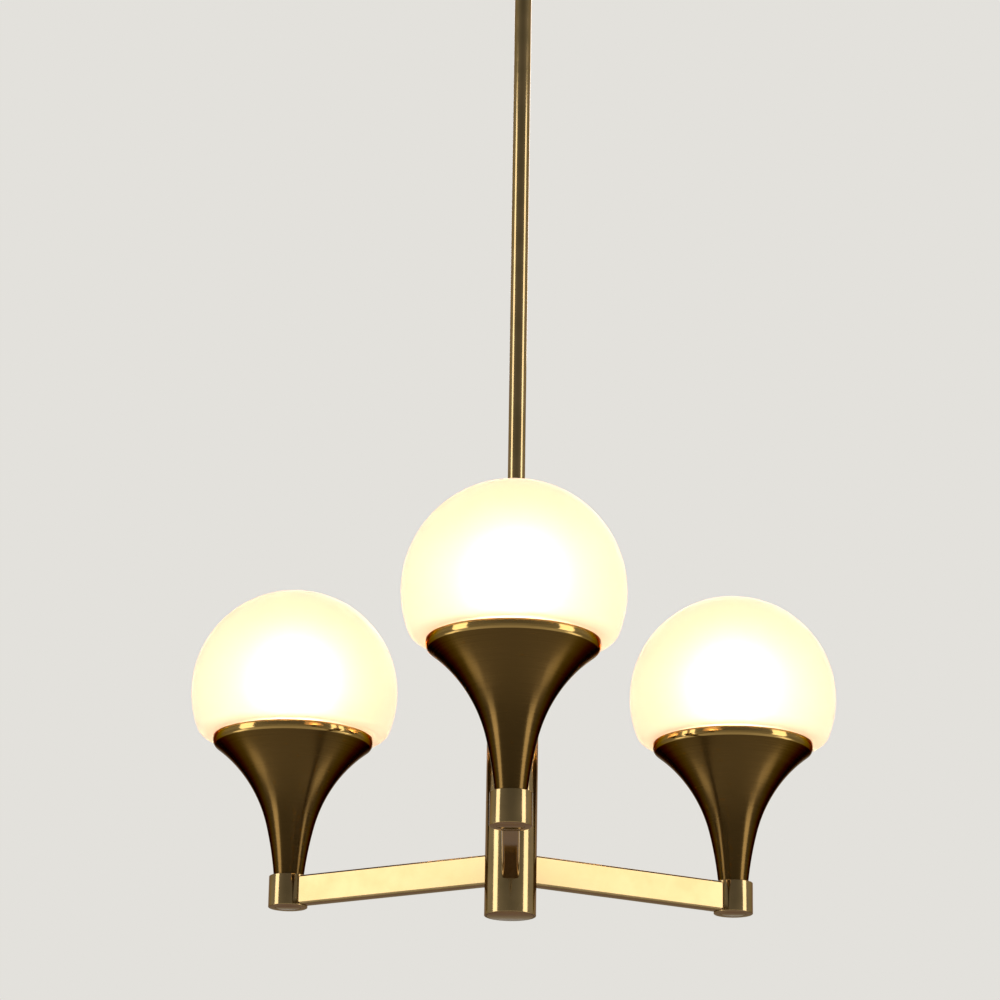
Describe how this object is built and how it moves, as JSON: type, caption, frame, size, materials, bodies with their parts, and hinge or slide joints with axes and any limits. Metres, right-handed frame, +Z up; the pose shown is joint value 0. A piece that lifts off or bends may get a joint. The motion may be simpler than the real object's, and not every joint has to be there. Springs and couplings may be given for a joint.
{
  "type": "multi arm chandelier",
  "caption": "Polished brass pendant chandelier: rod on a ball swivel, tubular hub, flat arms and flared trumpet cups that carry frosted opal glass globes.",
  "frame": {"origin": "centre of the canopy on the ceiling plane", "axes": "+Z up into the ceiling; one arm points along -Y, the others at 120 degrees about Z"},
  "size_m": [0.4699, 0.427, 0.7723],
  "materials": {
    "polished_brass": "polished and lacquered",
    "satin_brass": "spun, satin brushed, slightly antiqued",
    "turned_brass": "plain turned",
    "zinc_steel": "zinc plated",
    "opal_glass": "opal, frosted outside",
    "bulb_opal": "opal, frosted",
    "nickel_cap": "nickel plated",
    "black_phenolic": "moulded, matt",
    "white_nylon": "moulded",
    "clear_flex": "smooth sheath",
    "gasket_rubber": "soft silicone"
  },
  "bodies": {
    "ceiling": {"ceiling_bracket": "zinc_steel", "canopy": "polished_brass", "canopy_screws": "polished_brass", "terminal_block": "white_nylon", "block_fixing_screw": "zinc_steel", "earth_screw": "zinc_steel", "canopy_nut": "zinc_steel", "canopy_nipple": "zinc_steel", "swivel_cap": "polished_brass", "swivel_housing": "polished_brass", "ceiling_flex": "clear_flex"},
    "swivel": {"swivel_seat": "turned_brass"},
    "chandelier": {"swivel_ball": "turned_brass", "stem_top_nipple": "zinc_steel", "stem_tube": "polished_brass", "stem_bottom_nipple": "zinc_steel", "hub_tube": "polished_brass", "hub_top_cap": "polished_brass", "hub_bottom_cap": "polished_brass", "hub_core": "turned_brass", "splice_block": "white_nylon", "stem_flex": "clear_flex", "m10_nuts": "zinc_steel", "boss_plugs": "polished_brass", "glass_gaskets": "gasket_rubber", "lamp_contacts": "turned_brass", "arm_1": "polished_brass", "boss_1": "polished_brass", "neck_nipple_1": "zinc_steel", "trumpet_1": "satin_brass", "lampholder_1": "black_phenolic", "lamp_sleeve_1": "turned_brass", "arm_flex_1": "clear_flex", "arm_2": "polished_brass", "boss_2": "polished_brass", "neck_nipple_2": "zinc_steel", "trumpet_2": "satin_brass", "lampholder_2": "black_phenolic", "lamp_sleeve_2": "turned_brass", "arm_flex_2": "clear_flex", "arm_3": "polished_brass", "boss_3": "polished_brass", "neck_nipple_3": "zinc_steel", "trumpet_3": "satin_brass", "lampholder_3": "black_phenolic", "lamp_sleeve_3": "turned_brass", "arm_flex_3": "clear_flex"},
    "globe_1": {"globe_1": "opal_glass"},
    "bulb_1": {"bulb_cap_1": "nickel_cap", "bulb_glass_1": "bulb_opal"},
    "globe_2": {"globe_2": "opal_glass"},
    "bulb_2": {"bulb_cap_2": "nickel_cap", "bulb_glass_2": "bulb_opal"},
    "globe_3": {"globe_3": "opal_glass"},
    "bulb_3": {"bulb_cap_3": "nickel_cap", "bulb_glass_3": "bulb_opal"}
  },
  "joints": [
    {"name": "swivel_turn", "type": "hinge", "parent": "ceiling", "child": "swivel", "pos_m": [0, 0, -0.04954], "axis": [0, 0, 1], "range_deg": [-175, 175]},
    {"name": "stem_tilt", "type": "hinge", "parent": "swivel", "child": "chandelier", "pos_m": [0, 0, -0.04954], "axis": [1, 0, 0], "range_deg": [-15, 15]},
    {"name": "globe_1_lift", "type": "slide", "parent": "chandelier", "child": "globe_1", "axis": [0, 0, 1], "range_m": [0, 0.15]},
    {"name": "globe_2_lift", "type": "slide", "parent": "chandelier", "child": "globe_2", "axis": [0, 0, 1], "range_m": [0, 0.15]},
    {"name": "globe_3_lift", "type": "slide", "parent": "chandelier", "child": "globe_3", "axis": [0, 0, 1], "range_m": [0, 0.15]},
    {"name": "bulb_1_unscrew", "type": "slide", "parent": "chandelier", "child": "bulb_1", "axis": [0, 0, 1], "range_m": [0, 0.022]},
    {"name": "bulb_2_unscrew", "type": "slide", "parent": "chandelier", "child": "bulb_2", "axis": [0, 0, 1], "range_m": [0, 0.022]},
    {"name": "bulb_3_unscrew", "type": "slide", "parent": "chandelier", "child": "bulb_3", "axis": [0, 0, 1], "range_m": [0, 0.022]}
  ]
}
